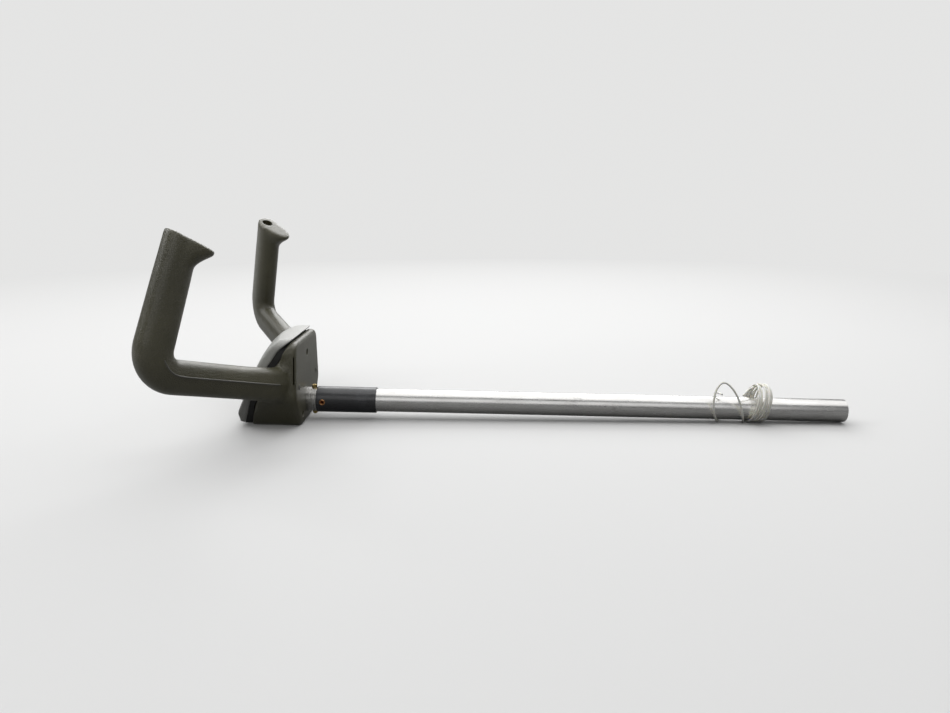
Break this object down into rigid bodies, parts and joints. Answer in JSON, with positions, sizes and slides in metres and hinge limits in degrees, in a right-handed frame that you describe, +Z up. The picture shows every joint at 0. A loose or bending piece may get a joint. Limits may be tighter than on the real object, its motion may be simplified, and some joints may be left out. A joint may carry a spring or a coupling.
{
  "type": "aircraft control wheel",
  "caption": "Two-horn aircraft control wheel with a padded hub on a long straight control tube that slides through a panel.",
  "frame": {"origin": "on the control tube's axis, in the plane of its open forward end", "axes": "+X along the tube, away from the pilot; +Y to the pilot's left; +Z up"},
  "size_m": [0.71, 0.3628, 0.2169],
  "materials": {
    "olive_plastic": "moulded leather grain",
    "dark_plastic": "matt",
    "pale_plastic": "fine grain",
    "dark_steel": "oiled",
    "bright_steel": "turned, bright",
    "yellow_plated": "yellow plated",
    "copper": "copper plated",
    "black_plastic": "satin",
    "satin_aluminium": "satin, lightly smudged",
    "white_lead": "smooth sheath"
  },
  "bodies": {
    "root": {"wheel_moulding": "olive_plastic", "hub_pad_base": "dark_plastic", "hub_pad_cover": "pale_plastic", "pad_screw_upper": "dark_steel", "pad_screw_lower": "dark_steel", "pad_screw_left": "dark_steel", "pad_washer_upper": "dark_steel", "pad_washer_lower": "dark_steel", "pad_washer_left": "dark_steel", "horn_core_left": "dark_steel", "horn_core_right": "dark_steel", "hub_socket": "bright_steel", "tube_adapter": "bright_steel", "collar_bolt": "yellow_plated", "collar_nut": "yellow_plated", "collar_washer_upper": "bright_steel", "collar_washer_lower": "bright_steel", "tube_sleeve": "black_plastic", "tube_rivet": "copper", "control_tube": "satin_aluminium", "lead_coil": "white_lead", "lead_loop": "white_lead", "lead_tail": "white_lead"}
  },
  "joints": []
}
